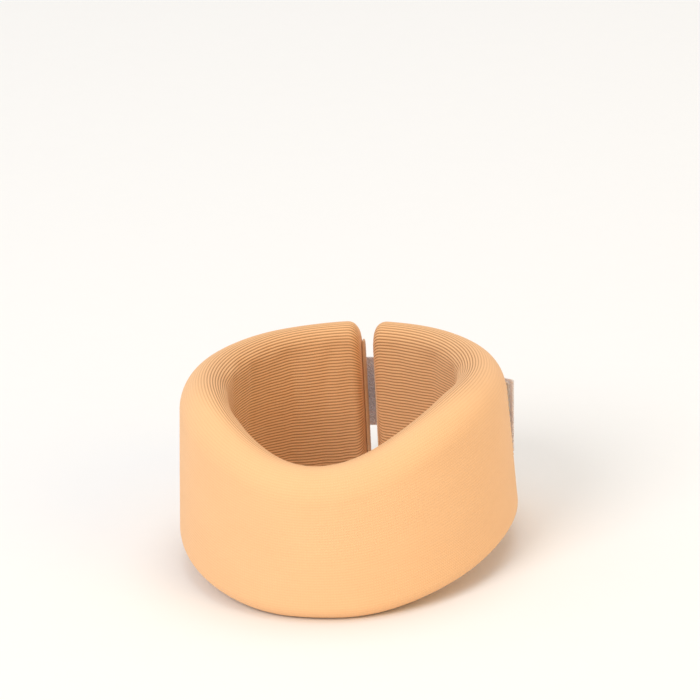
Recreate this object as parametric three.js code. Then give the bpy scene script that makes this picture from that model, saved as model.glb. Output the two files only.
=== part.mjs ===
// Soft cervical collar, laid out closed round an empty neck space, standing on its bottom edge.
// Millimetres, +Z up. The wearer's chin is at -Y, the wearer's left hand is at +X.
// Plan angles run from the chin (0) by the wearer's left (90) to the nape (180).
// The origin is the middle of the footprint, on the surface the collar stands on.
import * as THREE from 'three';

// Plan of the band, measured on the line halfway through its thickness.
const halfWidth = 68.7;
const frontReach = 84.9;
const backReach = 72.5;

// Band section.
const thickness = 23;
const outerTopRound = 14.3;
const innerTopRound = 8.4;
const bottomRound = 8;
const flare = 0.059;
const flareLevel = 45;

// Top edge: dips at the chin, rises to the jaw, comes down a little to the nape.
const chinHeight = 71.2;
const jawHeight = 91.2;
const napeHeight = 90;
const jawAngle = 74;
const chinDipPower = 1.9;

// Bottom edge: flat under the chin and at the nape, arched over the shoulders.
const archHeight = 11;
const archAngle = 98;
const archPower = 1.64;
const frontFlatAngle = 10;
const backFlatAngle = 164;

// Layers.
const skin = 1.2;
const gap = 0.3;
const endRound = 6;

// Where the band ends at the nape and where it flexes at the wearer's right.
const endAngle = 177;
const flexAngle = -90;
const flexGap = 1.3;

// Sewn closing fins on the two ends.
const finDepth = 1.6;
const finWidth = 2.4;

// Closure.
const strapHeight = 37;
const strapAboveMiddle = 2;
const strapThickness = 1;
const loopThickness = 1;
const hookThickness = 0.7;
const loopBorder = 2.2;
const loopFrontAngle = 112;
const loopBackAngle = 163;
const strapTipAngle = 117;
const tipLean = 0.1;
const tipLength = 7.5;
const hookBackAngle = 152;
const baseFarAngle = 213;
const baseNearAngle = 185;
const peelGap = 1.2;
const cornerRound = 4;

// Sewing thread.
const threadWidth = 0.8;
const threadHeight = 0.5;
const threadGap = 0.3;
const threadInset = 1.5;

const degree = Math.PI / 180;
const halfThickness = thickness / 2;

function smooth(value) {
  const t = Math.min(1, Math.max(0, value));
  return t * t * (3 - 2 * t);
}

function angleFromChin(angle) {
  const turned = Math.abs(((angle + 540) % 360) - 180);
  return turned;
}

function topHeight(angle) {
  const from = angleFromChin(angle);
  if (from < jawAngle) {
    const rise = Math.sin((from / jawAngle) * 90 * degree) ** chinDipPower;
    return chinHeight + (jawHeight - chinHeight) * rise;
  }
  return jawHeight + (napeHeight - jawHeight) * smooth((from - jawAngle) / (180 - jawAngle));
}

function bottomHeight(angle) {
  const from = angleFromChin(angle);
  if (from <= frontFlatAngle || from >= backFlatAngle) {
    return 0;
  }
  if (from < archAngle) {
    const along = (from - frontFlatAngle) / (archAngle - frontFlatAngle);
    return archHeight * Math.sin(along * 90 * degree) ** archPower;
  }
  return archHeight * (1 - smooth((from - archAngle) / (backFlatAngle - archAngle)));
}

// Half of an ellipse in front, a shorter half behind, joined at the two sides.
function reachAt(angle) {
  return Math.cos(angle * degree) > 0 ? frontReach : backReach;
}

function planSpeed(angle) {
  const t = angle * degree;
  return Math.hypot(halfWidth * Math.cos(t), reachAt(angle) * Math.sin(t)) * degree;
}

// A point at a plan angle, a height, and a distance out from the middle of the thickness.
function bandPoint(angle, outward, z) {
  const t = angle * degree;
  const reach = reachAt(angle);
  const normal = new THREE.Vector2(Math.sin(t) / halfWidth, -Math.cos(t) / reach).normalize();
  const out = outward + flare * (flareLevel - z);
  const x = halfWidth * Math.sin(t) + normal.x * out;
  const y = -reach * Math.cos(t) + normal.y * out;
  return [x, y, z];
}

// Rounded rectangle across the band, shrunk evenly by an inset.
function bandSection(angle, inset) {
  const half = halfThickness - inset;
  const low = bottomHeight(angle) + inset;
  const high = topHeight(angle) - inset;
  const outerTop = outerTopRound - inset;
  const innerTop = innerTopRound - inset;
  const bottom = bottomRound - inset;
  const corners = [
    [half - outerTop, high - outerTop, outerTop, 0],
    [innerTop - half, high - innerTop, innerTop, 90],
    [bottom - half, low + bottom, bottom, 180],
    [half - bottom, low + bottom, bottom, 270],
  ];
  const steps = 4;
  const points = [];
  for (const [outward, z, radius, from] of corners) {
    for (let i = 0; i <= steps; i += 1) {
      const t = (from + (90 * i) / steps) * degree;
      points.push(bandPoint(angle, outward + radius * Math.cos(t), z + radius * Math.sin(t)));
    }
  }
  return points;
}

// One closed body from rings of points, each ring joined to the next.
function bodyFromRings(rings, closure) {
  const positions = [];
  const faces = [];
  const size = rings[0].length;
  for (const ring of rings) {
    for (const point of ring) {
      positions.push(...point);
    }
  }
  const pairs = closure === 'loop' ? rings.length : rings.length - 1;
  for (let r = 0; r < pairs; r += 1) {
    const next = (r + 1) % rings.length;
    for (let i = 0; i < size; i += 1) {
      const j = (i + 1) % size;
      const a = r * size + i;
      const b = r * size + j;
      const c = next * size + j;
      const d = next * size + i;
      faces.push(a, b, c, a, c, d);
    }
  }
  if (closure === 'caps') {
    for (const [ring, turn] of [[0, -1], [rings.length - 1, 1]]) {
      const centre = new THREE.Vector3();
      for (const point of rings[ring]) {
        centre.add(new THREE.Vector3(...point));
      }
      centre.divideScalar(size);
      const middle = positions.length / 3;
      positions.push(centre.x, centre.y, centre.z);
      for (let i = 0; i < size; i += 1) {
        const a = ring * size + i;
        const b = ring * size + ((i + 1) % size);
        faces.push(...(turn > 0 ? [a, b, middle] : [b, a, middle]));
      }
    }
  }
  return facingOut(positions, faces);
}

// Turns every triangle round when the body encloses a negative volume.
function facingOut(positions, faces) {
  let volume = 0;
  for (let i = 0; i < faces.length; i += 3) {
    const corner = [0, 1, 2].map((k) => new THREE.Vector3().fromArray(positions, faces[i + k] * 3));
    volume += corner[0].dot(corner[1].clone().cross(corner[2]));
  }
  if (volume < 0) {
    faces.reverse();
  }
  const geometry = new THREE.BufferGeometry();
  geometry.setAttribute('position', new THREE.Float32BufferAttribute(positions, 3));
  geometry.setIndex(faces);
  geometry.computeVertexNormals();
  return geometry;
}

function spread(from, to, count) {
  return Array.from({ length: count + 1 }, (unused, i) => from + ((to - from) * i) / count);
}

function range(from, to, largestStep) {
  return spread(from, to, Math.max(1, Math.ceil(Math.abs(to - from) / largestStep)));
}

// Rings from the open flexing end to a softly rounded closed end.
function bandRings(openAngle, closedAngle, inset, endInset) {
  const way = Math.sign(closedAngle - openAngle);
  const endSpeed = planSpeed(closedAngle);
  const lastAngle = closedAngle - (way * endInset) / endSpeed;
  const radius = endRound - inset;
  const roundStart = lastAngle - (way * radius) / endSpeed;
  const rings = range(openAngle, roundStart, 6.5).map((angle) => bandSection(angle, inset));
  const steps = 3;
  for (let i = 1; i <= steps; i += 1) {
    const t = (i / steps) * 75 * degree;
    const angle = roundStart + ((lastAngle - roundStart) * Math.sin(t)) / Math.sin(75 * degree);
    rings.push(bandSection(angle, inset + radius * (1 - Math.cos(t))));
  }
  return rings;
}

// Knitted sleeve: an outer skin and an inner skin, joined round the open end.
function sleeve(openAngle, closedAngle) {
  const outside = bandRings(openAngle, closedAngle, 0, 0);
  const inside = bandRings(openAngle, closedAngle, skin, skin);
  return bodyFromRings([...outside.reverse(), ...inside], 'caps');
}

function foamCore(openAngle, closedAngle) {
  const inset = skin + gap;
  return bodyFromRings(bandRings(openAngle, closedAngle, inset, inset), 'caps');
}

// Distance from the middle of the thickness to a layer lying on the outer face.
function above(layers) {
  return halfThickness + layers;
}

// The strap and the panel run parallel to the band, a little above its middle.
function strapMiddle(angle) {
  return (topHeight(angle) + bottomHeight(angle)) / 2 + strapAboveMiddle;
}
const hookLevel = gap + loopThickness + gap;
const strapLevel = hookLevel + hookThickness + gap;

// The free end of the strap leans away from the band, most at its top corner.
function tipLift(angle, z) {
  const free = Math.max(0, 1 - Math.max(0, angle - strapTipAngle) / tipLength);
  return free * free * tipLean * Math.max(0, z - strapMiddle(angle) + strapHeight / 2);
}

// Height of the strap above the band: lying on the nape, then climbing onto the loop panel.
function strapRise(angle) {
  const onPanel = smooth((baseNearAngle - 5 - angle) / 14);
  return gap + (strapLevel - gap) * onPanel;
}

// A curved strip lying on the band, with rounded corners at its ends.
function strip(fromAngle, toAngle, height, level, depth, rounds) {
  const stations = [];
  const speed = planSpeed((fromAngle + toAngle) / 2);
  const [roundFrom, roundTo] = rounds;
  for (const [edge, round, way] of [[fromAngle, roundFrom, 1], [toAngle, roundTo, -1]]) {
    const shares = round > 0 ? [0, 0.12, 0.42] : [];
    const ends = shares.map((share) => {
      const cut = round * (1 - Math.sqrt(1 - (1 - share) ** 2));
      return [edge + (way * round * share) / speed, cut];
    });
    stations.push(way > 0 ? ends : ends.reverse());
  }
  const [start, finish] = stations;
  const first = fromAngle + roundFrom / speed;
  const last = toAngle - roundTo / speed;
  const middle = range(first, last, 5).map((angle) => [angle, 0]);
  const rings = [...start, ...middle, ...finish].map(([angle, cut]) => {
    const half = height / 2 - cut;
    const heights = spread(strapMiddle(angle) - half, strapMiddle(angle) + half, 8);
    const outer = heights.map((z) => bandPoint(angle, above(level(angle, z) + depth), z));
    const inner = heights.map((z) => bandPoint(angle, above(level(angle, z)), z));
    return [...outer, ...inner.reverse()];
  });
  return bodyFromRings(rings, 'caps');
}

// A closed run of thread round a rectangle with rounded corners, lying on a strip.
function threadLoop(fromAngle, toAngle, height, level) {
  const speed = planSpeed((fromAngle + toAngle) / 2);
  const radius = 2;
  const across = radius / speed;
  const reach = height / 2 - radius;
  const corners = [
    [toAngle - across, reach, 0],
    [fromAngle + across, reach, 90],
    [fromAngle + across, -reach, 180],
    [toAngle - across, -reach, 270],
  ];
  const path = [];
  corners.forEach(([angle, up, from], index) => {
    for (let i = 0; i <= 2; i += 1) {
      const t = (from + 45 * i) * degree;
      path.push([angle + across * Math.cos(t), up + radius * Math.sin(t), t]);
    }
    const [nextAngle, nextUp] = corners[(index + 1) % 4];
    const t = (from + 90) * degree;
    const longest = index % 2 === 0 ? 5 / Math.abs(toAngle - fromAngle) : 0.5;
    for (const share of range(0, 1, longest).slice(1, -1)) {
      const atAngle = angle + (nextAngle - angle) * share + across * Math.cos(t);
      path.push([atAngle, up + (nextUp - up) * share + radius * Math.sin(t), t]);
    }
  });
  const half = threadWidth / 2;
  const rings = path.map(([angle, up, t]) => {
    const corner = (side, depth) => {
      const atAngle = angle + (side * half * Math.cos(t)) / speed;
      const z = strapMiddle(atAngle) + up + side * half * Math.sin(t);
      return bandPoint(atAngle, above(level(atAngle, z) + depth), z);
    };
    return [corner(-1, 0), corner(1, 0), corner(1, threadHeight), corner(-1, threadHeight)];
  });
  return bodyFromRings(rings, 'loop');
}

// Sewn fin closing the sleeve across its end, standing on the flat of the end.
function endFin(side) {
  const clear = 0.05;
  const base = side * (endAngle + clear / planSpeed(endAngle));
  const tip = side * (endAngle + finDepth / planSpeed(endAngle));
  const low = bottomHeight(endAngle) + endRound + 5;
  const high = topHeight(endAngle) - endRound - 5;
  const rings = [base, tip].map((angle) => {
    const heights = spread(low, high, 4);
    const outer = heights.map((z) => bandPoint(angle, finWidth / 2, z));
    const inner = heights.map((z) => bandPoint(angle, -finWidth / 2, z));
    return [...outer, ...inner.reverse()];
  });
  return bodyFromRings(rings, 'caps');
}

const halfFlex = flexGap / 2 / planSpeed(flexAngle);
const peelAngle = baseNearAngle - peelGap / planSpeed(180);

const panelHeight = strapHeight + 2 * loopBorder;
const panelLevel = () => gap;
const hookSurface = (angle, z) => hookLevel + tipLift(angle, z);
const strapSurface = (angle, z) => strapRise(angle) + tipLift(angle, z);
const raised = (level, depth) => (angle, z) => level(angle, z) + depth + threadGap;

const pieces = {
  foam_core_front: foamCore(flexAngle + halfFlex, endAngle),
  cover_front: sleeve(flexAngle + halfFlex, endAngle),
  end_seam_left: endFin(1),
  loop_panel: strip(
    loopFrontAngle,
    loopBackAngle,
    panelHeight,
    panelLevel,
    loopThickness,
    [cornerRound, cornerRound],
  ),
  loop_panel_stitching: threadLoop(
    loopFrontAngle + threadInset / planSpeed(loopFrontAngle),
    loopBackAngle - threadInset / planSpeed(loopBackAngle),
    panelHeight - 2 * threadInset,
    raised(panelLevel, loopThickness),
  ),
  foam_core_wing: foamCore(flexAngle - halfFlex, -endAngle),
  cover_wing: sleeve(flexAngle - halfFlex, -endAngle),
  end_seam_right: endFin(-1),
  strap_base: strip(
    baseNearAngle,
    baseFarAngle,
    strapHeight,
    panelLevel,
    strapThickness,
    [0, 1],
  ),
  strap_base_stitching: threadLoop(
    baseNearAngle + 2 * threadInset / planSpeed(baseNearAngle),
    baseFarAngle - 2 * threadInset / planSpeed(baseFarAngle),
    strapHeight - 4 * threadInset,
    raised(panelLevel, strapThickness),
  ),
  strap_band: strip(
    strapTipAngle,
    peelAngle,
    strapHeight,
    strapSurface,
    strapThickness,
    [1, 0],
  ),
  hook_tape: strip(
    strapTipAngle + 1,
    hookBackAngle,
    strapHeight - 2,
    hookSurface,
    hookThickness,
    [1, 1],
  ),
  hook_tape_stitching: threadLoop(
    strapTipAngle + 2.2,
    hookBackAngle - 1.2,
    strapHeight - 4 * threadInset,
    raised(strapSurface, strapThickness),
  ),
};

const finishes = {
  foam_core_front: [0xf4ead0, 0.95],
  foam_core_wing: [0xf4ead0, 0.95],
  cover_front: [0xf2c597, 0.9],
  cover_wing: [0xf2c597, 0.9],
  end_seam_left: [0xe2b384, 0.85],
  end_seam_right: [0xe2b384, 0.85],
  loop_panel: [0xecc39a, 0.97],
  loop_panel_stitching: [0xf6dcbb, 0.6],
  strap_base: [0xcfc3bd, 0.8],
  strap_base_stitching: [0xe9e2dd, 0.6],
  strap_band: [0xcfc3bd, 0.8],
  hook_tape: [0xe4dedb, 0.45],
  hook_tape_stitching: [0xe9e2dd, 0.6],
};

const footprint = new THREE.Box3();
for (const geometry of Object.values(pieces)) {
  geometry.computeBoundingBox();
  footprint.union(geometry.boundingBox);
}
const middle = footprint.getCenter(new THREE.Vector3());

const group = new THREE.Group();
group.name = 'soft_cervical_collar';
for (const [name, geometry] of Object.entries(pieces)) {
  const [color, roughness] = finishes[name];
  const material = new THREE.MeshStandardMaterial({ color, roughness, metalness: 0 });
  geometry.translate(-middle.x, -middle.y, -footprint.min.z);
  const mesh = new THREE.Mesh(geometry, material);
  mesh.name = name;
  group.add(mesh);
}

export default group;
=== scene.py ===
"""Soft cervical collar: a ribbed knit sleeve over foam, a loop panel, and a hook and loop strap."""

import math

import bpy
import numpy as np
from mathutils import Matrix, Vector


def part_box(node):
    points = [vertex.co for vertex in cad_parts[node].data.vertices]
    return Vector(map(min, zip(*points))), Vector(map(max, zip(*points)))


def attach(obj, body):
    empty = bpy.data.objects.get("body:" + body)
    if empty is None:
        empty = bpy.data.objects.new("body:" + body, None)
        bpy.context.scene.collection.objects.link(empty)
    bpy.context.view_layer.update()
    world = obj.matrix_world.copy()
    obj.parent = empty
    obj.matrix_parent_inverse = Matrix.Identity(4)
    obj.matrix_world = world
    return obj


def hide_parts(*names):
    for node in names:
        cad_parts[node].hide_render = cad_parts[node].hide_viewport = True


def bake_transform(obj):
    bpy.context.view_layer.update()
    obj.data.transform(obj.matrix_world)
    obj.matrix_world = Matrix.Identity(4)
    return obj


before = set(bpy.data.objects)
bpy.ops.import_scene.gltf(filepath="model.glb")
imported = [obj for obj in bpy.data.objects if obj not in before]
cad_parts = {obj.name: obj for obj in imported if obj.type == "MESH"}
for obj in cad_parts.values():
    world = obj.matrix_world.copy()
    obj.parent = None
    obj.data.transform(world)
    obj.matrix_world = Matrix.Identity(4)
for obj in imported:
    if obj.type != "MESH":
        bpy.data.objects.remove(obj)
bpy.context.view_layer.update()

MM = 0.001

# The band's driving dimensions, in millimetres and degrees round from the chin, as in the CAD.
HALF_WIDTH, FRONT_REACH, BACK_REACH = 68.7, 84.9, 72.5
HALF_THICKNESS = 11.5
OUTER_TOP_ROUND, INNER_TOP_ROUND, BOTTOM_ROUND = 14.3, 8.4, 8.0
FLARE, FLARE_LEVEL = 0.059, 45.0
CHIN_HEIGHT, JAW_HEIGHT, NAPE_HEIGHT = 71.2, 91.2, 90.0
JAW_ANGLE, CHIN_POWER = 74.0, 1.9
ARCH_HEIGHT, ARCH_ANGLE, ARCH_POWER = 11.0, 98.0, 1.64
FRONT_FLAT, BACK_FLAT = 10.0, 164.0
END_ANGLE = 177.0

# The closure, in layers out from the sleeve's face.
STRAP_HEIGHT, STRAP_ABOVE_MIDDLE = 37.0, 2.0
STRAP_THICKNESS, LOOP_THICKNESS, HOOK_THICKNESS, GAP = 1.0, 1.0, 0.7, 0.3
LOOP_BORDER = 2.2
LOOP_HEIGHT = STRAP_HEIGHT + 2 * LOOP_BORDER
LOOP_FRONT, LOOP_BACK = 112.0, 163.0
TIP_ANGLE, TIP_LEAN, TIP_LENGTH = 117.0, 0.1, 7.5
HOOK_HEIGHT = 35.0
HOOK_FRONT, HOOK_BACK = TIP_ANGLE + 1, 152.0
BASE_NEAR, BASE_FAR = 185.0, 213.0
HOOK_LEVEL = GAP + LOOP_THICKNESS + GAP
STRAP_LEVEL = HOOK_LEVEL + HOOK_THICKNESS + GAP

# The sleeve and the foam.
RIBS, RIB_PITCH = 132, 1.35
END_ROUND = 7.0             # how far back from its end the sleeve starts to round off
PLEAT_DEPTH = 0.35          # of the small pleats where it is gathered into its end seams
FOAM_INSET = 2.6
SPLIT_ANGLE = -72.0         # the sleeve is parted here, just ahead of the stretch that bends
BEND_REACH = 23.0           # the bend spreads this far to each side of the flex line
PEEL_REACH = 7.0            # and the strap's bend this far to each side of its own
SWELL_START, SWELL_CAP = 0.55, 1.1
SWELL_ROWS, SWELL_COLUMNS, CLOTH_FRAMES = 137, 56, 20

# The fine surface of the strap, its hooks and its stitches.
EDGE_ROUND = 0.35
HOOK_BACKING = 0.25
PILE_SINK = 0.32
STITCH_PITCH, THREAD, STITCH_RISE, STITCH_SINK = 2.7, 0.48, 0.34, 0.06
STITCH_INSET, STITCH_INSET_ANGLE = 1.5, 1.2     # in from the long edges, and from the short ones


# ---------------------------------------------------------------- the band's surface

def smooth(value):
    t = np.clip(value, 0.0, 1.0)
    return t * t * (3 - 2 * t)


def from_chin(angle):
    return np.abs((np.asarray(angle, float) + 540) % 360 - 180)


def top_height(angle):
    a = from_chin(angle)
    rise = np.sin(np.radians(np.clip(a / JAW_ANGLE, 0, 1) * 90)) ** CHIN_POWER
    front = CHIN_HEIGHT + (JAW_HEIGHT - CHIN_HEIGHT) * rise
    back = JAW_HEIGHT + (NAPE_HEIGHT - JAW_HEIGHT) * smooth((a - JAW_ANGLE) / (180 - JAW_ANGLE))
    return np.where(a < JAW_ANGLE, front, back)


def bottom_height(angle):
    a = from_chin(angle)
    along = np.clip((a - FRONT_FLAT) / (ARCH_ANGLE - FRONT_FLAT), 0, 1)
    front = ARCH_HEIGHT * np.sin(np.radians(along * 90)) ** ARCH_POWER
    back = ARCH_HEIGHT * (1 - smooth((a - ARCH_ANGLE) / (BACK_FLAT - ARCH_ANGLE)))
    return np.where(a < ARCH_ANGLE, front, back)


def plan_points(angle, outward, z):
    """Points of the band in plan millimetres: out from the middle of its thickness, at height z."""
    t = np.radians(np.asarray(angle, float))
    reach = np.where(np.cos(t) > 0, FRONT_REACH, BACK_REACH)
    nx, ny = np.sin(t) / HALF_WIDTH, -np.cos(t) / reach
    length = np.hypot(nx, ny)
    out = outward + FLARE * (FLARE_LEVEL - z)
    x = HALF_WIDTH * np.sin(t) + nx / length * out
    y = -reach * np.cos(t) + ny / length * out
    return np.stack(np.broadcast_arrays(x, y, z), axis=-1)


def plan_speed(angle):
    """Millimetres along the middle of the band for each degree of plan angle."""
    t = np.radians(angle)
    reach = np.where(np.cos(t) > 0, FRONT_REACH, BACK_REACH)
    return np.hypot(HALF_WIDTH * np.cos(t), reach * np.sin(t)) * math.pi / 180


def plan_centre():
    """Where the plan's own centre sits in the row frame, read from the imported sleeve."""
    low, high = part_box("cover_front")
    chin_side = plan_points(np.linspace(-20, 20, 41), HALF_THICKNESS, BOTTOM_ROUND)
    return Vector(((low.x + high.x) / 2, low.y - chin_side[:, 1].min() * MM, 0))


CENTRE = plan_centre()


def in_frame(points):
    flat = np.asarray(points, float).reshape(-1, 3) * MM
    return flat + np.array(CENTRE)


def outline(angle, shares, inset=0.0):
    """The band's section at one angle: (outward, z, normal outward, normal z) at shares of its length."""
    half = HALF_THICKNESS - inset
    low, high = float(bottom_height(angle)) + inset, float(top_height(angle)) - inset
    ro, ri, rb = OUTER_TOP_ROUND - inset, INNER_TOP_ROUND - inset, BOTTOM_ROUND - inset
    parts = [
        ("line", (half, low + rb), (half, high - ro), (1, 0)),
        ("arc", (half - ro, high - ro), ro, 0),
        ("line", (half - ro, high), (ri - half, high), (0, 1)),
        ("arc", (ri - half, high - ri), ri, 90),
        ("line", (-half, high - ri), (-half, low + rb), (-1, 0)),
        ("arc", (rb - half, low + rb), rb, 180),
        ("line", (rb - half, low), (half - rb, low), (0, -1)),
        ("arc", (half - rb, low + rb), rb, 270),
    ]
    lengths = [
        math.dist(p[1], p[2]) if p[0] == "line" else p[2] * math.pi / 2 for p in parts
    ]
    edges = np.concatenate([[0], np.cumsum(lengths)])
    s = np.asarray(shares) * edges[-1]
    result = np.zeros((len(s), 4))
    for part, start, length in zip(parts, edges[:-1], lengths):
        inside = (s >= start - 1e-9) & (s <= start + length + 1e-9)
        f = (s[inside] - start) / length
        if part[0] == "line":
            a, b, normal = np.array(part[1]), np.array(part[2]), np.array(part[3], float)
            at = a + (b - a) * f[:, None]
            result[inside] = np.hstack([at, np.tile(normal, (len(f), 1))])
        else:
            turn = np.radians(part[3] + 90 * f)
            normal = np.stack([np.cos(turn), np.sin(turn)], 1)
            result[inside] = np.hstack([np.array(part[1]) + part[2] * normal, normal])
    return result


def run_length(first, last, outward):
    path = plan_points(np.linspace(first, last, 60), outward, FLARE_LEVEL)
    return float(np.linalg.norm(np.diff(path, axis=0), axis=1).sum())


# ---------------------------------------------------------------- mesh helpers

def make_mesh(name, points, faces, uvs=None, depth=None):
    """A mesh object from row-frame points and faces; uvs is one pair for each face corner."""
    mesh = bpy.data.meshes.new(name)
    mesh.from_pydata([tuple(p) for p in points], [], [tuple(f) for f in faces])
    if uvs is not None:
        layer = mesh.uv_layers.new(name="cloth")
        layer.data.foreach_set("uv", np.asarray(uvs, np.float32).ravel())
    if depth is not None:
        attribute = mesh.attributes.new("depth", "FLOAT", "POINT")
        attribute.data.foreach_set("value", np.asarray(depth, np.float32))
    mesh.polygons.foreach_set("use_smooth", [True] * len(mesh.polygons))
    mesh.update()
    thing = bpy.data.objects.new(name, mesh)
    bpy.context.scene.collection.objects.link(thing)
    return thing


def grid_faces(rows, columns, closed=False):
    """The quads of a grid of points; closed joins its last column to its first."""
    r, c = np.arange(rows - 1), np.arange(columns if closed else columns - 1)
    rr, cc = np.meshgrid(r, c, indexing="ij")
    r2, c2 = rr + 1, (cc + 1) % columns
    faces = np.stack(
        [rr * columns + cc, rr * columns + c2, r2 * columns + c2, r2 * columns + cc], -1
    )
    return faces.reshape(-1, 4)


def grid_uvs(u, v, rows, columns, closed=False):
    """Corner UVs for grid_faces, with v running on past the join instead of jumping back."""
    r, c = np.arange(rows - 1), np.arange(columns if closed else columns - 1)
    rr, cc = np.meshgrid(r, c, indexing="ij")
    corners = ((rr, cc), (rr, cc + 1), (rr + 1, cc + 1), (rr + 1, cc))
    return np.stack([np.stack([u[i], v[j]], -1) for i, j in corners], -2).reshape(-1, 2)


def turned(faces, uvs):
    """The same quads, facing the other way."""
    return faces[:, ::-1], uvs.reshape(-1, 4, 2)[:, ::-1].reshape(-1, 2)


def flatten_caps(mesh):
    """Shades the last two faces, a tube's caps, flat and keeps their rims sharp."""
    caps = list(mesh.polygons)[-2:]
    rims = {key for cap in caps for key in cap.edge_keys}
    for cap in caps:
        cap.use_smooth = False
    for edge in mesh.edges:
        if edge.key in rims:
            edge.use_edge_sharp = True


# ---------------------------------------------------------------- layers on the outer face

def strap_middle(angle):
    return (top_height(angle) + bottom_height(angle)) / 2 + STRAP_ABOVE_MIDDLE


def tip_lift(angle, z):
    """How far the strap's free end stands off the panel, more towards its top edge."""
    free = np.maximum(0, 1 - np.maximum(0, np.asarray(angle) - TIP_ANGLE) / TIP_LENGTH)
    return free ** 2 * TIP_LEAN * np.maximum(0, z - strap_middle(angle) + STRAP_HEIGHT / 2)


def panel_level(angle, z):
    return GAP


def panel_top(angle, z):
    return GAP + LOOP_THICKNESS


def strap_level(angle, z):
    """The strap lies on the sleeve where it is sewn and climbs on to the panel's hooks."""
    climb_end, climb = BASE_NEAR - 5, 14
    on_panel = smooth((climb_end - np.asarray(angle, float)) / climb)
    return GAP + (STRAP_LEVEL - GAP) * on_panel + tip_lift(angle, z)


def strap_top(angle, z):
    return strap_level(angle, z) + STRAP_THICKNESS


def backing_level(angle, z):
    """The hook tape's backing is the layer next to the strap; the hooks stand under it."""
    return HOOK_LEVEL + tip_lift(angle, z) + HOOK_THICKNESS - HOOK_BACKING


def sewn_on(angle, z):
    """1 where the loop panel or the strap's sewn end holds the sleeve down, 0 away from them."""
    angle = np.asarray(angle)
    beside, above, fade = 1, 2, 3
    sewn_pieces = (
        (LOOP_FRONT, LOOP_BACK, LOOP_HEIGHT / 2),
        (BASE_NEAR - 360, BASE_FAR - 360, STRAP_HEIGHT / 2),
    )
    held = 0.0
    for first, last, half in sewn_pieces:
        along = smooth((angle - first + beside) / fade) * smooth((last + beside - angle) / fade)
        held = held + along * smooth((half + above - np.abs(z - strap_middle(angle))) / fade)
    return held


# ---------------------------------------------------------------- sleeve and foam

def coarse_shell():
    """The whole sleeve as one plain grid, a little slack, with the weights that hold it down."""
    shares = np.arange(SWELL_COLUMNS) / SWELL_COLUMNS
    last_angle, outer_face = END_ANGLE - 4, 0.7
    angles = np.linspace(-last_angle, last_angle, SWELL_ROWS)
    rows, directions, held = [], [], []
    for angle in angles:
        out, z, normal_out, _ = outline(angle, shares, SWELL_START).T
        stuck = np.where(normal_out > outer_face, sewn_on(angle, z), 0.0)
        out = out + SWELL_START * stuck
        rows.append(plan_points(angle, out, z))
        directions.append(plan_points(angle, out + 1, z) - rows[-1])
        held.append(stuck)
    held = np.array(held)
    held[:2], held[-2:] = 1, 1
    return angles, np.array(rows), np.array(directions), held


def settle(shell, held):
    """Runs the cloth and returns where the shell's points come to rest, in the row frame."""
    least_weight = 0.02
    group = shell.vertex_groups.new(name="held")
    for index, weight in enumerate(held.ravel()):
        if weight > least_weight:
            group.add([index], float(weight), "REPLACE")
    cloth = shell.modifiers.new("cloth", "CLOTH")
    settings = cloth.settings
    settings.quality = 6
    settings.mass = 0.3
    settings.tension_stiffness = settings.compression_stiffness = 12
    settings.shear_stiffness = 6
    settings.bending_stiffness = 0.6
    settings.use_pressure = True
    settings.uniform_pressure_force = 3.5
    settings.vertex_group_mass = "held"
    settings.effector_weights.gravity = 0
    scene = bpy.context.scene
    scene.frame_start, scene.frame_end = 1, CLOTH_FRAMES
    cloth.point_cache.frame_start, cloth.point_cache.frame_end = 1, CLOTH_FRAMES
    for step in range(1, CLOTH_FRAMES + 1):
        scene.frame_set(step)
    settled = shell.evaluated_get(bpy.context.evaluated_depsgraph_get()).to_mesh()
    places = np.zeros(len(settled.vertices) * 3)
    settled.vertices.foreach_get("co", places)
    scene.frame_set(1)
    return places.reshape(-1, 3)


def swell_field():
    """How the sleeve settles over its foam: its outward and upward moves on the coarse grid."""
    angles, rest, directions, held = coarse_shell()
    count, columns = held.shape
    faces = grid_faces(count, columns, closed=True)[:, ::-1].tolist()
    faces += [list(range(columns)), list(range((count - 1) * columns, count * columns))[::-1]]
    shell = make_mesh("settling_shell", in_frame(rest), faces)
    move = ((settle(shell, held) - in_frame(rest)) / MM).reshape(rest.shape)
    bpy.data.objects.remove(shell)
    length = np.linalg.norm(move, axis=2, keepdims=True)
    move *= np.minimum(1, SWELL_CAP / np.maximum(length, 1e-9))
    return angles, (move * directions).sum(2), move[..., 2]


def spline(values, place, wrap):
    """Values of a grid's first axis read at fractional places, smoothly and a little evened out."""
    low = np.floor(place).astype(int)
    f = place - low
    weights = ((1 - f) ** 3, 3 * f ** 3 - 6 * f ** 2 + 4,
               -3 * f ** 3 + 3 * f ** 2 + 3 * f + 1, f ** 3)
    total = 0.0
    for shift, weight in zip((-1, 0, 1, 2), weights):
        index = (low + shift) % len(values) if wrap else np.clip(low + shift, 0, len(values) - 1)
        total = total + values[index] * weight / 6
    return total


def swell_at(field, angle, shares):
    """A swell field's values at one angle, round the section."""
    place = np.interp(angle, SWELL_ANGLES, np.arange(SWELL_ROWS))
    return spline(spline(field, place, False), shares * SWELL_COLUMNS, True)


def band_stations(start, finish, step):
    """Plan angles from start to a rounded end at finish, and how far round that end each one is."""
    closing_power = 0.85
    way = np.sign(finish - start)
    reach = way * END_ROUND / plan_speed(finish)
    even = np.linspace(start, finish - reach, int(abs(finish - start) / step) + 1)
    turn = np.linspace(0, 90, 16)[1:]
    rounded = (finish - reach) + reach * np.sin(np.radians(turn)) ** closing_power
    return np.concatenate([even, rounded]), np.concatenate([np.zeros(len(even)), turn / 90])


# Where the slow waves of the ribs and the sleeve begin, so that no two run together.
WANDER = np.random.default_rng(7).normal(0, 1, 4)


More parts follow.
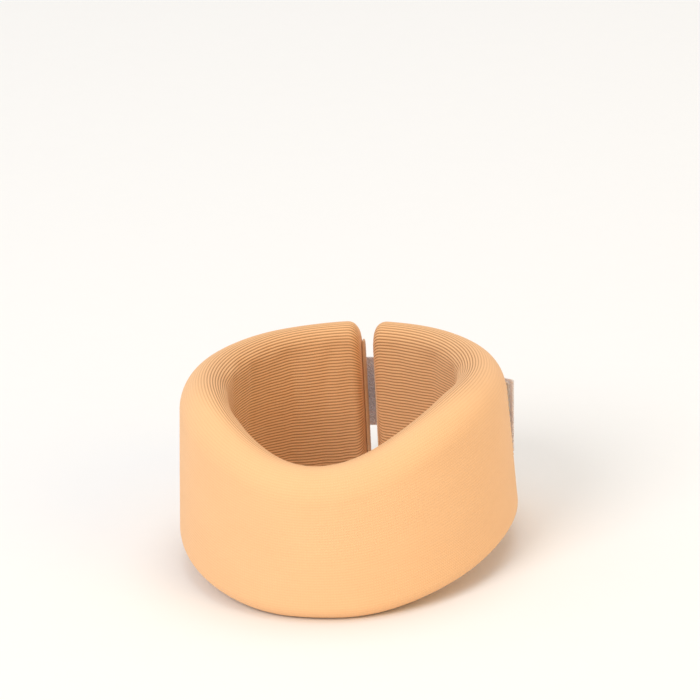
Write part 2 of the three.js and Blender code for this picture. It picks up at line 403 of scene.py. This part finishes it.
def rib_relief(angle, shares, normal_out):
    """The ribs' depth, deep inside and shallow on the stretched outer face, and their height.

    They start to deepen near the top of the rim by the chin, and further out at the sides.
    """
    shallow, deeper_by, uneven, roundness = 0.075, 0.285, 0.12, 0.62
    beside_chin, chin_fade = 35, 45
    onset = 0.35 + 0.45 * float(smooth((from_chin(angle) - beside_chin) / chin_fade))
    inner = smooth((onset - normal_out) / (onset + 0.65))
    depth = shallow + deeper_by * inner
    drift = 1 + uneven * np.sin(math.radians(angle) * 5 + WANDER[0] + shares * 4 * np.pi)
    crest = np.abs(np.sin(np.pi * shares * RIBS)) ** roundness - roundness
    return depth, depth * drift * crest


def ripple(angle, shares):
    """The slow unevenness of a sleeve pulled on by hand."""
    turns, height = math.radians(angle), 0.06
    waves = (
        np.sin(turns * (4 + 3 * k) + shares * 2 * np.pi * (1 + k) + WANDER[k + 1]) for k in range(3)
    )
    return height * sum(waves)


def knit_section(angle, shares):
    """The sleeve's section at one angle, settled on its foam, with its ribs' height and depth."""
    out, z, normal_out, normal_z = outline(angle, shares, SWELL_START).T
    depth, rise = rib_relief(angle, shares, normal_out)
    outer_side = 0.5
    loose = 1 - np.where(normal_out > outer_side, sewn_on(angle, z), 0.0)
    rise = rise + ripple(angle, shares) * loose
    out = out + SWELL_START * (1 - loose) + swell_at(SWELL_OUT, angle, shares)
    z = z + swell_at(SWELL_UP, angle, shares)
    return out, z, normal_out, normal_z, rise, depth


def foam_section(angle, shares):
    """The foam's section at one angle: plain, and a little inside the sleeve's."""
    flat = np.zeros(len(shares))
    return (*outline(angle, shares, FOAM_INSET).T, flat, flat)


def drawn_in(out, z, rise, depth, turn, pleat_depth):
    """A section a share of the way round the sewn end: drawn in to the seam, in small pleats."""
    seam_half, seam_inset, closing_power = 0.9, 9.5, 0.62
    pleat_pitch, pleat_wander, wander_rate, onset = 4.6, 0.8, 0.31, 3
    close = max(0.0, math.cos(math.radians(turn * 90))) ** closing_power
    middle, half_height = (z.max() + z.min()) / 2, (z.max() - z.min()) / 2
    shrink = 1 - (seam_inset / half_height) * (1 - math.cos(math.radians(turn * 90)))
    out = out * close + np.sign(out) * seam_half * (1 - close)
    z = middle + (z - middle) * shrink
    pleat = np.sin(z * 2 * math.pi / pleat_pitch + pleat_wander * np.sin(z * wander_rate))
    rise = rise * close + pleat_depth * (1 - close) * pleat * np.clip(close * onset, 0, 1)
    return out, z, rise * close, depth * close


def band_tube(name, section, finish, step, ribs, points_a_rib, pleat_depth):
    """A tube of sections, from a flat cut at the split to a sewn, rounded end at finish."""
    columns = ribs * points_a_rib
    shares = np.arange(columns) / columns
    angles, progress = band_stations(SPLIT_ANGLE, finish, step)
    rows, depth_rows = [], []
    for angle, turn in zip(angles, progress):
        out, z, normal_out, normal_z, rise, depth = section(angle, shares)
        out, z, rise, depth = drawn_in(out, z, rise, depth, turn, pleat_depth)
        rows.append(plan_points(angle, out + normal_out * rise, z + normal_z * rise))
        depth_rows.append(depth)
    count = len(rows)
    running = np.concatenate([[0], np.cumsum(np.diff(angles) * plan_speed(angles[1:]))])
    faces = grid_faces(count, columns, closed=True)
    uvs = grid_uvs(running, np.arange(columns + 1) / points_a_rib, count, columns, closed=True)
    caps = [np.arange(columns), (count - 1) * columns + np.arange(columns)]
    if finish > SPLIT_ANGLE:
        faces, uvs = turned(faces, uvs)
        caps[1] = caps[1][::-1]
    else:
        caps[0] = caps[0][::-1]
    uvs = np.concatenate([uvs, np.zeros((2 * columns, 2))])
    thing = make_mesh(name, in_frame(rows), faces.tolist() + caps, uvs, np.ravel(depth_rows))
    flatten_caps(thing.data)
    return thing


# ---------------------------------------------------------------- strips, stitches and small loops

def sewn_strip(name, first, last, height, level, depth, spacing, corner, surface=None):
    """A closed strip lying on the band, its long edges and corners rounded, in a fine grid."""
    length = run_length(first, last, HALF_THICKNESS + 2)
    columns, rows = max(4, int(height / spacing)), max(6, int(length / spacing))
    along, crowding = np.linspace(0, 1, rows + 1), 0.12
    along = along - crowding * np.sin(2 * np.pi * along) / np.pi
    across = np.linspace(-1, 1, columns + 1)
    distance = np.minimum(along, 1 - along) * length
    cut = corner - np.sqrt(np.maximum(0, corner ** 2 - np.maximum(0, corner - distance) ** 2))
    angle = (first + (last - first) * along)[:, None] + np.zeros((1, columns + 1))
    half = (height / 2 - cut)[:, None]
    up = half * across[None, :]
    z = strap_middle(angle) + up
    rim = np.minimum(distance[:, None], half - np.abs(up) + 0.02)
    swell = 0.3 + 0.7 * np.sqrt(np.clip(1 - np.clip(1 - rim / EDGE_ROUND, 0, 1) ** 2, 0, 1))
    base = HALF_THICKNESS + level(angle, z)
    relief = surface(up, distance[:, None], half) * swell if surface else 0.0
    outer = plan_points(angle, base + depth * (0.5 + 0.5 * swell) + relief, z)
    inner = plan_points(angle, base + depth * (0.5 - 0.5 * swell), z)
    n_rows, n_columns = outer.shape[:2]
    size = n_rows * n_columns
    u = along * length
    v = (across + 1) / 2 * height
    front = grid_faces(n_rows, n_columns)
    uv_front = grid_uvs(u, v, n_rows, n_columns)
    back, uv_back = turned(front + size, uv_front)
    ring = np.concatenate([
        np.arange(n_columns),
        np.arange(1, n_rows) * n_columns + n_columns - 1,
        (n_rows - 1) * n_columns + np.arange(n_columns - 2, -1, -1),
        np.arange(n_rows - 2, 0, -1) * n_columns,
    ])
    following = np.roll(ring, -1)
    side = np.stack([following, ring, ring + size, following + size], -1)
    spots = np.stack([np.repeat(u, n_columns), np.tile(v, n_rows)], -1)
    uv_side = np.stack([spots[following], spots[ring], spots[ring], spots[following]], 1)
    faces = np.concatenate([front, back, side])
    uvs = np.concatenate([uv_front, uv_back, uv_side.reshape(-1, 2)])
    if last > first:
        faces, uvs = turned(faces, uvs)
    points = np.concatenate([outer.reshape(-1, 3), inner.reshape(-1, 3)])
    return make_mesh(name, in_frame(points), faces, uvs)


def woven_rows(up, distance, half):
    """The tape's lengthwise rows and its two thicker selvedges."""
    row_pitch, row_height, selvedge_height, selvedge_width, sink = 1.85, 0.07, 0.07, 2.2, 0.03
    rows = row_height * np.abs(np.sin(np.pi * up / row_pitch)) ** 0.7
    selvedge = selvedge_height * smooth((np.abs(up) - half + selvedge_width) / 0.5)
    return rows - sink + selvedge


def quilted(up, distance, half):
    """The pile sinks along its border seam, and again inside it, where the loops stand."""
    seam, seam_width, seam_depth = 1.5, 1.1, 0.32
    field, field_depth = 2.2, 0.28
    inside = np.minimum(distance, half - np.abs(up))
    pressed = seam_depth * (1 - smooth(np.abs(inside - seam) / seam_width))
    return -pressed - field_depth * smooth((inside - field) / 0.8)


def border_path(first, last, height):
    """Points just inside a sewn piece's edges, as (angle, height above the strap's middle)."""
    first, last = first + STITCH_INSET_ANGLE, last - STITCH_INSET_ANGLE
    height, radius = height - 2 * STITCH_INSET, 2.0
    speed = run_length(first, last, HALF_THICKNESS + 2) / abs(last - first)
    across, reach = radius / speed, height / 2 - radius
    points = []
    corners = [
        (last - across, reach, 0), (first + across, reach, 90),
        (first + across, -reach, 180), (last - across, -reach, 270),
    ]
    for index, (angle, up, turn) in enumerate(corners):
        for step in range(7):
            t = math.radians(turn + 15 * step)
            points.append((angle + across * math.cos(t), up + radius * math.sin(t)))
        following = corners[(index + 1) % 4]
        t = math.radians(turn + 90)
        for share in np.linspace(0, 1, 60)[1:-1]:
            points.append((
                angle + (following[0] - angle) * share + across * math.cos(t),
                up + (following[1] - up) * share + radius * math.sin(t),
            ))
    return np.array(points)


def tubes(name, lines, widths, away, sides):
    """Many short threads in one mesh: lines (n, k, 3) in plan mm, radii (n, k), away (n, k, 3)."""
    count, rings = lines.shape[:2]
    along = np.gradient(lines, axis=1)
    along /= np.linalg.norm(along, axis=2, keepdims=True)
    away = away - (away * along).sum(2, keepdims=True) * along
    away /= np.linalg.norm(away, axis=2, keepdims=True)
    beside = np.cross(along, away)
    turn = np.arange(sides) / sides * 2 * np.pi
    loops = (beside[:, :, None] * np.cos(turn)[:, None]
             + away[:, :, None] * np.sin(turn)[:, None]) * widths[:, :, None, None]
    points = lines[:, :, None] + loops
    faces = []
    one = grid_faces(rings, sides, closed=True)[:, ::-1]
    for index in range(count):
        first = index * rings * sides
        faces += (one + first).tolist()
        faces.append(list(range(first, first + sides)))
        faces.append(list(range(first + (rings - 1) * sides, first + rings * sides))[::-1])
    return make_mesh(name, in_frame(points), faces)


def thread_run(name, path, level):
    """A closed run of separate stitches that dive into the cloth at both ends."""
    path = np.vstack([path, path[:1]])
    z = strap_middle(path[:, 0]) + path[:, 1]
    spots = plan_points(path[:, 0], HALF_THICKNESS + level(path[:, 0], z), z)
    lengths = np.concatenate([[0], np.cumsum(np.linalg.norm(np.diff(spots, axis=0), axis=1))])
    count, rings, half_stitch = int(lengths[-1] / STITCH_PITCH), 9, 0.44
    across = np.linspace(-1, 1, rings)
    arch = np.sqrt(np.clip(1 - across ** 2, 0, 1))
    share = (np.arange(count)[:, None] + 0.5 + half_stitch * across) / count * lengths[-1]
    angle, up = np.interp(share, lengths, path[:, 0]), np.interp(share, lengths, path[:, 1])
    height = strap_middle(angle) + up
    out = HALF_THICKNESS + level(angle, height) + STITCH_RISE * arch - STITCH_SINK
    lines = plan_points(angle, out, height)
    away = plan_points(angle, out + 1, height) - lines
    widths = THREAD / 2 * (0.4 + 0.6 * arch) * np.ones((count, 1))
    return tubes(name, lines, widths, away, 8)


def hook_rows():
    """The hook tape's moulded hooks, curling by turns up and down the strap."""
    rows, columns, reach = 34, 22, 16.5
    plain_front, plain_back = 3.5, 1
    angles = np.linspace(HOOK_FRONT + plain_front, HOOK_BACK - plain_back, rows)
    ups = np.linspace(-reach, reach, columns)
    angle, up = [g.ravel() for g in np.meshgrid(angles, ups, indexing="ij")]
    way = np.where(np.arange(len(angle)) % 2 == 0, 1.0, -1.0)
    curl = np.array([(0, -0.05), (0, 0.14), (0.03, 0.26), (0.12, 0.36), (0.25, 0.37), (0.32, 0.27)])
    z = strap_middle(angle)[:, None] + up[:, None] + way[:, None] * curl[:, 0]
    a = np.repeat(angle[:, None], len(curl), 1)
    out = HALF_THICKNESS + backing_level(a, z) - curl[:, 1]
    lines = plan_points(a, out, z)
    away = plan_points(a + 1.0, out, z) - lines
    widths = np.tile([0.12, 0.11, 0.10, 0.09, 0.08, 0.05], (len(angle), 1))
    return tubes("hook_tape_hooks", lines, widths, away, 5)


def loop_rows():
    """The panel's pile: small upright loops in staggered rows, each leaning its own way."""
    rng = np.random.default_rng(11)
    pitch_angle, pitch_up, half_span, yarn_radius = 0.6, 0.9, 0.42, 0.1
    angles = np.arange(LOOP_FRONT + 2.4, LOOP_BACK - 2.2, pitch_angle)
    reach = LOOP_HEIGHT / 2 - 2.9
    ups = np.arange(-reach, reach, pitch_up)
    angle, up = np.meshgrid(angles, ups, indexing="ij")
    up = up + (np.arange(len(angles)) % 2)[:, None] * pitch_up / 2
    angle, up = angle.ravel(), up.ravel()
    count = len(angle)
    angle = angle + rng.uniform(-0.2, 0.2, count)
    up = up + rng.uniform(-0.25, 0.25, count)
    lean = rng.uniform(0, 2 * np.pi, count)
    tall = rng.uniform(0.30, 0.42, count)
    turn = np.linspace(0, np.pi, 6)
    flat = -np.cos(turn) * half_span
    speed = run_length(LOOP_FRONT, LOOP_BACK, HALF_THICKNESS) / (LOOP_BACK - LOOP_FRONT)
    a = angle[:, None] + flat * np.cos(lean)[:, None] / speed
    z = strap_middle(angle)[:, None] + up[:, None] + flat * np.sin(lean)[:, None]
    out = HALF_THICKNESS + panel_top(a, z) - PILE_SINK + tall[:, None] * np.sin(turn)
    lines = plan_points(a, out, z)
    away = plan_points(a, out + 1, z) - lines
    return tubes("loop_panel_loops", lines, np.full((count, len(turn)), yarn_radius), away, 4)


def end_seam(name, node):
    """The overlocked edge that closes the sleeve: a narrow ridge wrapped in slanting thread."""
    low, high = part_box(node)
    middle, half = (low + high) / 2, (high - low) / 2
    rings, sides, wrap_pitch, blunt, least = 150, 20, 1.7, 24, 0.03
    t = np.linspace(0, 1, rings)
    turn = np.arange(sides) / sides * 2 * np.pi
    z = low.z + (high.z - low.z) * t
    tip = np.sqrt(np.clip(1 - np.abs(2 * t - 1) ** blunt, 0, 1))[:, None] * (1 - least) + least
    slant = np.sin((z / MM)[:, None] * math.pi / wrap_pitch + turn[None] / 2)
    wrap = 0.86 + 0.14 * np.abs(slant) ** 0.7
    x = middle.x + half.x * np.cos(turn) * wrap * tip
    y = middle.y + half.y * np.sin(turn) * wrap * tip
    points = np.stack([x, y, np.repeat(z[:, None], sides, 1)], -1).reshape(-1, 3)
    faces = grid_faces(rings, sides, closed=True).tolist()
    faces += [list(range(sides))[::-1], list(range((rings - 1) * sides, rings * sides))]
    return make_mesh(name, points, faces)


# ---------------------------------------------------------------- shader helpers

class Shader:
    """A material's node tree, with each node added by one call. Colours are (red, green, blue)."""

    def __init__(self, name, colour, **surface):
        self.material = bpy.data.materials.new(name)
        self.material.use_nodes = True
        self.tree = self.material.node_tree
        self.surface = self.tree.nodes["Principled BSDF"]
        self.material.diffuse_color = (*colour, 1)
        self.set("Base Color", colour)
        for key, value in surface.items():
            self.set(key.replace("_", " "), value)

    def give(self, socket, value):
        """Links a value made by another node to a socket, or sets a constant."""
        if isinstance(value, bpy.types.NodeSocket):
            self.tree.links.new(value, socket)
        elif socket.type == "RGBA":
            socket.default_value = (*value, 1)
        else:
            socket.default_value = value

    def set(self, name, value):
        self.give(self.surface.inputs[name], value)

    def node(self, kind, inputs=(), output=0, **settings):
        made = self.tree.nodes.new(kind)
        for key, value in settings.items():
            setattr(made, key, value)
        for key, value in dict(inputs).items():
            self.give(made.inputs[key], value)
        return made.outputs[output]

    def math(self, operation, *values):
        return self.node("ShaderNodeMath", enumerate(values), operation=operation)

    def times(self, value, factor):
        return self.math("MULTIPLY", value, factor)

    def wave(self, value, factor):
        return self.math("SINE", self.times(value, factor))

    def span(self, value, low, high, to_low=0.0, to_high=1.0):
        names = {"Value": value, "From Min": low, "From Max": high,
                 "To Min": to_low, "To Max": to_high}
        return self.node("ShaderNodeMapRange", names)

    def mix(self, factor, first, second):
        values = {0: factor, 6: first, 7: second}
        return self.node("ShaderNodeMix", values, output=2, data_type="RGBA")

    def uv(self):
        """Millimetres along the cloth, and millimetres or ribs across it."""
        place = self.node("ShaderNodeUVMap", uv_map="cloth")
        parts = self.tree.nodes.new("ShaderNodeSeparateXYZ")
        self.give(parts.inputs[0], place)
        return parts.outputs[0], parts.outputs[1]

    def spot(self, u, v, scale_u, scale_v):
        return self.node("ShaderNodeCombineXYZ", {0: self.times(u, scale_u), 1: self.times(v, scale_v)})

    def noise(self, vector, scale, detail, roughness=0.55):
        names = {"Vector": vector, "Scale": scale, "Detail": detail, "Roughness": roughness}
        return self.node("ShaderNodeTexNoise", names)

    def bump(self, height, distance, strength):
        names = {"Height": height, "Distance": distance, "Strength": strength}
        return self.node("ShaderNodeBump", names)


def knit_material():
    """Fine lengthwise-ribbed stockinette: warm beige crests, painted shade in the grooves, small
    stitches.
    """
    s = Shader("beige_stockinette", (0.93, 0.55, 0.282), Roughness=0.86, Specular_IOR_Level=0.22,
               Sheen_Weight=0.22, Sheen_Roughness=0.45, Sheen_Tint=(1.0, 0.86, 0.72))
    stitch_length = 1.05
    u, v = s.uv()
    crest = s.math("POWER", s.math("ABSOLUTE", s.wave(v, math.pi)), 0.62)
    # Painted shade: this groove mask and the strength below only darken the grooves between the ribs,
    # more where the ribs are deeper.
    groove_shade = s.math("POWER", s.math("SUBTRACT", 1.0, crest), 0.85)
    depth = s.node("ShaderNodeAttribute", output="Fac", attribute_name="depth")
    strength = s.span(depth, 0.08, 0.26, 0.09, 0.96)
    middle = s.math("ABSOLUTE", s.math("SUBTRACT", s.math("FRACT", v), 0.5))
    rows = s.math("ADD", s.times(u, 1 / stitch_length), s.times(middle, 1.1))
    stitch = s.wave(rows, 2 * math.pi)
    across = s.times(v, RIB_PITCH)
    cloud = s.noise(s.spot(u, across, 0.03, 0.05), 1.0, 3.0)
    yarn = s.noise(s.spot(u, across, 0.9, 2.4), 1.0, 4.0, 0.65)
    tone = s.mix(s.span(cloud, 0.3, 0.7), (0.95, 0.565, 0.290), (0.925, 0.545, 0.278))
    tone = s.mix(s.span(yarn, 0.25, 0.75, 0.0, 0.16), tone, (0.72, 0.41, 0.195))
    tone = s.mix(s.span(stitch, -1.0, 1.0, 0.0, 0.10), tone, (0.66, 0.36, 0.165))
    # Painted shade: the grooves are pulled towards a deep brown, most on the inner face and the top rim,
    # where the ribs are deepest.
    tone = s.mix(s.math("MULTIPLY", groove_shade, strength), tone, (0.26, 0.10, 0.03))
    s.set("Base Color", tone)
    s.set("Roughness", s.span(yarn, 0.2, 0.8, 0.80, 0.93))
    fine = s.math("ADD", s.times(stitch, 0.5), s.times(yarn, 0.9))
    s.set("Normal", s.bump(fine, 0.00007, 0.8))
    return s.material


def foam_material():
    """Open-celled cream foam: painted shade in its small pores, on a matt surface."""
    cream, pore_shade = (0.80, 0.70, 0.50), (0.48, 0.38, 0.22)
    s = Shader("cream_foam", cream, Roughness=0.95, Specular_IOR_Level=0.1)
    u, v = s.uv()
    cells = s.node("ShaderNodeTexVoronoi", {"Vector": s.spot(u, v, 1.4, 1.4), "Scale": 1.0})
    # Painted shade: the pores are darkened towards brown at the centres of the voronoi cells.
    s.set("Base Color", s.mix(s.span(cells, 0.0, 0.35, 0.7, 0.0), cream, pore_shade))
    s.set("Normal", s.bump(cells, 0.0003, 0.7))
    return s.material


def tape_material():
    """Strap webbing in pale warm grey: plain-woven yarns half a millimetre wide, with a twill line."""
    s = Shader("pale_webbing", (0.88, 0.82, 0.84), Roughness=0.72, Specular_IOR_Level=0.3,
               Sheen_Weight=0.18, Sheen_Roughness=0.5, Sheen_Tint=(1.0, 0.97, 0.97),
               Subsurface_Weight=0.6, Subsurface_Radius=(1.0, 0.97, 1.0), Subsurface_Scale=0.0028)
    warp_width, weft_width, twill_along, twill_across, selvedge_width = 0.62, 0.55, 2.6, 1.9, 1.6
    u, v = s.uv()
    warp = s.wave(v, math.pi / warp_width)
    weft = s.wave(u, math.pi / weft_width)
    weave = s.math("MULTIPLY", warp, weft)
    slant = s.math("ADD", s.times(u, 2 * math.pi / twill_along), s.times(v, 2 * math.pi / twill_across))
    twill = s.span(s.math("SINE", slant), -0.2, 1.0)
    yarn = s.noise(s.spot(u, v, 2.2, 2.2), 1.0, 3.0, 0.6)
    cloud = s.noise(s.spot(u, v, 0.06, 0.06), 1.0, 2.0)
    tone = s.mix(s.span(cloud, 0.3, 0.7), (0.91, 0.84, 0.85), (0.88, 0.81, 0.82))
    tone = s.mix(s.span(weave, -1.0, 1.0, 0.28, 0.0), tone, (0.66, 0.59, 0.60))
    tone = s.mix(s.span(yarn, 0.3, 0.7, 0.0, 0.14), tone, (0.94, 0.90, 0.90))
    tone = s.mix(s.times(twill, 0.22), tone, (0.62, 0.55, 0.565))
    from_middle = s.math("ABSOLUTE", s.math("SUBTRACT", v, STRAP_HEIGHT / 2))
    selvedge = s.math("GREATER_THAN", from_middle, STRAP_HEIGHT / 2 - selvedge_width)
    s.set("Base Color", s.mix(s.times(selvedge, 0.35), tone, (0.74, 0.67, 0.68)))
    raised = s.math("SUBTRACT", s.math("ADD", weave, yarn), s.times(twill, 1.2))
    s.set("Normal", s.bump(raised, 0.00016, 1.0))
    return s.material


def loop_material():
    """Brushed loop pile in the sleeve's beige, slightly paler at the fibre tips."""
    s = Shader("beige_loop_pile", (0.90, 0.58, 0.33), Roughness=0.97, Specular_IOR_Level=0.12,
               Sheen_Weight=0.25, Sheen_Roughness=0.4, Sheen_Tint=(1.0, 0.85, 0.70))
    u, v = s.uv()
    fibre = s.noise(s.spot(u, v, 3.1, 3.1), 1.0, 5.0, 0.7)
    tuft = s.noise(s.spot(u, v, 0.6, 0.6), 1.0, 3.0, 0.6)
    tone = s.mix(s.span(fibre, 0.3, 0.7), (0.88, 0.55, 0.31), (0.97, 0.67, 0.41))
    s.set("Base Color", s.mix(s.span(tuft, 0.35, 0.7, 0.0, 0.3), tone, (0.95, 0.69, 0.44)))
    s.set("Normal", s.bump(s.math("ADD", fibre, s.times(tuft, 0.6)), 0.00025, 0.6))
    return s.material


def thread_material(name, light, dark):
    """Twisted sewing thread: a fine slanting ply along each stitch."""
    s = Shader(name, light, Roughness=0.6, Specular_IOR_Level=0.35,
               Sheen_Weight=0.2, Sheen_Roughness=0.4, Sheen_Tint=(1.0, 0.95, 0.9))
    place = s.node("ShaderNodeTexCoord", output="Object")
    twist = {"Vector": place, "Scale": 900.0, "Distortion": 1.5, "Detail": 1.0}
    ply = s.node("ShaderNodeTexWave", twist, bands_direction="DIAGONAL", output=1)
    s.set("Base Color", s.mix(ply, dark, light))
    s.set("Normal", s.bump(ply, 0.00006, 0.7))
    return s.material


def hook_material():
    """Moulded nylon hooks: pale grey, slightly glossy and translucent."""
    s = Shader("pale_nylon_hooks", (0.94, 0.95, 0.97), Roughness=0.38, Specular_IOR_Level=0.5,
               Subsurface_Weight=0.7, Subsurface_Radius=(1.0, 1.0, 1.0), Subsurface_Scale=0.0022)
    grain = s.noise(s.node("ShaderNodeTexCoord", output="Object"), 900.0, 2.0)
    s.set("Base Color", s.mix(grain, (0.91, 0.92, 0.95), (0.96, 0.97, 0.99)))
    s.set("Normal", s.bump(grain, 0.00005, 0.5))
    return s.material


def floor_material():
    """A matt off-white studio floor with a barely visible tooth."""
    s = Shader("studio_floor", (0.9, 0.9, 0.9), Roughness=0.9, Specular_IOR_Level=0.1)
    grain = s.noise(s.node("ShaderNodeTexCoord", output="Object"), 60.0, 3.0)
    s.set("Base Color", s.mix(grain, (0.895, 0.895, 0.895), (0.905, 0.905, 0.905)))
    return s.material


# ---------------------------------------------------------------- camera and light

def place_camera():
    """A long lens, a little above the collar and to the wearer's left, slightly tilted."""
    elevation, yaw, roll = math.radians(21), math.radians(11.276), math.radians(3.093)
    distance, to_right, to_up = 1.9, 0.00433, 0.0508
    middle = Vector((CENTRE.x, CENTRE.y, FLARE_LEVEL * MM))
    back = Vector((math.sin(yaw) * math.cos(elevation), -math.cos(yaw) * math.cos(elevation),
                   math.sin(elevation)))
    right = Vector((math.cos(yaw), math.sin(yaw), 0))
    aim = middle + right * to_right + back.cross(right) * to_up
    place = middle + back * distance
    z = (place - aim).normalized()
    level_x = Vector((0, 0, 1)).cross(z).normalized()
    level_y = z.cross(level_x)
    x = level_x * math.cos(roll) - level_y * math.sin(roll)
    y = level_x * math.sin(roll) + level_y * math.cos(roll)
    data = bpy.data.cameras.new("camera")
    data.sensor_width = 36
    data.lens = 203.05
    data.clip_start = 0.05
    camera = bpy.data.objects.new("camera", data)
    bpy.context.scene.collection.objects.link(camera)
    camera.matrix_world = Matrix((
        (x.x, y.x, z.x, place.x), (x.y, y.y, z.y, place.y), (x.z, y.z, z.z, place.z), (0, 0, 0, 1),
    ))
    bpy.context.scene.camera = camera


def area_light(name, place, size, power, tint=(1, 1, 1)):
    data = bpy.data.lights.new(name, "AREA")
    data.shape = "DISK"
    data.size = size
    data.energy = power
    data.color = tint
    lamp = bpy.data.objects.new(name, data)
    bpy.context.scene.collection.objects.link(lamp)
    lamp.location = place
    aim = Vector((0, 0, 0.05)) - Vector(place)
    lamp.rotation_euler = aim.to_track_quat("-Z", "Y").to_euler()


def studio():
    """Soft light from the front left, a warm fill from the right, and a wide pale floor."""
    scene = bpy.context.scene
    scene.world = bpy.data.worlds.new("studio")
    scene.world.use_nodes = True
    background = scene.world.node_tree.nodes["Background"]
    background.inputs["Color"].default_value = (1.0, 0.99, 0.98, 1)
    background.inputs["Strength"].default_value = 0.64
    area_light("key", (-1.9, -3.6, 3.1), 2.6, 110, (1.0, 0.99, 0.97))
    area_light("fill", (3.0, -1.9, 1.9), 2.6, 34, (1.0, 0.67, 0.18))
    area_light("top", (0.2, 0.8, 4.2), 3.0, 40)
    scene.view_settings.view_transform = "Standard"
    reach = 4.0
    corners = [(-reach, -reach, 0), (reach, -reach, 0), (reach, reach, 0), (-reach, reach, 0)]
    mesh = bpy.data.meshes.new("floor")
    mesh.from_pydata(corners, [], [(0, 1, 2, 3)])
    mesh.materials.append(floor_material())
    floor = bpy.data.objects.new("floor", mesh)
    scene.collection.objects.link(floor)


# ---------------------------------------------------------------- the collar

place_camera()
studio()

knit = knit_material()
foam = foam_material()
tape = tape_material()
pile = loop_material()
beige_thread = thread_material("beige_thread", (0.95, 0.68, 0.42), (0.74, 0.47, 0.26))
grey_thread = thread_material("pale_thread", (0.90, 0.86, 0.83), (0.62, 0.57, 0.54))
pile_thread = thread_material("beige_loop_yarn", (0.95, 0.66, 0.40), (0.80, 0.51, 0.29))
nylon = hook_material()

SWELL_ANGLES, SWELL_OUT, SWELL_UP = swell_field()
cover_main = band_tube("cover_main", knit_section, END_ANGLE, 2.7, RIBS, 5, PLEAT_DEPTH)
cover_rear = band_tube("cover_rear_right", knit_section, -END_ANGLE, 1.6, RIBS, 5, PLEAT_DEPTH)
foam_main = band_tube("foam_main", foam_section, END_ANGLE, 3.0, 30, 2, 0)
foam_rear = band_tube("foam_rear_right", foam_section, -END_ANGLE, 3.0, 30, 2, 0)

strap_tape = sewn_strip("strap_tape", BASE_FAR, TIP_ANGLE, STRAP_HEIGHT, strap_level,
                        STRAP_THICKNESS, 0.45, 1.0, woven_rows)
loop_panel = sewn_strip("loop_panel_pile", LOOP_FRONT, LOOP_BACK, LOOP_HEIGHT, panel_level,
                        LOOP_THICKNESS, 0.7, 4.0, quilted)
hook_base = sewn_strip("hook_tape_base", HOOK_FRONT, HOOK_BACK, HOOK_HEIGHT, backing_level,
                       HOOK_BACKING, 1.2, 1.0)
loops = loop_rows()
hooks = hook_rows()

panel_stitches = thread_run("loop_panel_stitches",
                            border_path(LOOP_FRONT, LOOP_BACK, LOOP_HEIGHT), panel_top)
base_stitches = thread_run("strap_base_stitches",
                           border_path(BASE_NEAR, BASE_FAR, STRAP_HEIGHT), strap_top)
hook_stitches = thread_run("hook_tape_stitches",
                           border_path(HOOK_FRONT, HOOK_BACK, HOOK_HEIGHT), strap_top)

seam_left = end_seam("end_seam_left_overlock", "end_seam_left")
seam_right = end_seam("end_seam_right_overlock", "end_seam_right")

# ---------------------------------------------------------------- bodies and slots

side_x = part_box("cover_wing")[0].x
bend = {
    "start": (side_x, CENTRE.y - BEND_REACH * MM, 0.045),
    "end": (side_x, CENTRE.y + BEND_REACH * MM, 0.045),
}
peel_x = (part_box("strap_band")[0].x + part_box("strap_base")[1].x) / 2
peel = {
    "start": (peel_x - PEEL_REACH * MM, 0.09, 0.055),
    "end": (peel_x + PEEL_REACH * MM, 0.09, 0.055),
}

# Each rigid piece: its material, the body it rides on, its slot, and whether it stands for that node.
RIDES = (
    (cover_main, knit, "collar", "cover_front", True),
    (foam_main, foam, "collar", "foam_core_front", True),
    (loop_panel, pile, "collar", "loop_panel", True),
    (loops, pile_thread, "collar", "loop_panel", False),
    (panel_stitches, beige_thread, "collar", "loop_panel_stitching", True),
    (seam_left, beige_thread, "collar", "end_seam_left", True),
    (seam_right, beige_thread, "strap_wing", "end_seam_right", True),
    (base_stitches, grey_thread, "strap_wing", "strap_base_stitching", True),
    (hook_base, nylon, "closure_strap", "hook_tape", True),
    (hooks, nylon, "closure_strap", "hook_tape", False),
    (hook_stitches, grey_thread, "closure_strap", "hook_tape_stitching", True),
)
for piece, material, body, slot, stands_for in RIDES:
    piece.data.materials.append(material)
    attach(piece, body)
    if stands_for:
        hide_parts(slot)

# Each piece that bends on the collar: its material, the two bodies, where it bends, the nodes it stands
# for, its slot; the loop below only gives it its material, bakes its placing and hides those nodes.
BENDS = (
    (cover_rear, knit, ("collar", "strap_wing"), bend, ("cover_wing",), "cover_wing"),
    (foam_rear, foam, ("collar", "strap_wing"), bend, ("foam_core_wing",), "foam_core_wing"),
    (strap_tape, tape, ("strap_wing", "closure_strap"), peel, ("strap_base", "strap_band"), "strap_band"),
)
for piece, material, bodies, place, nodes, slot in BENDS:
    piece.data.materials.append(material)
    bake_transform(piece)
    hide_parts(*nodes)
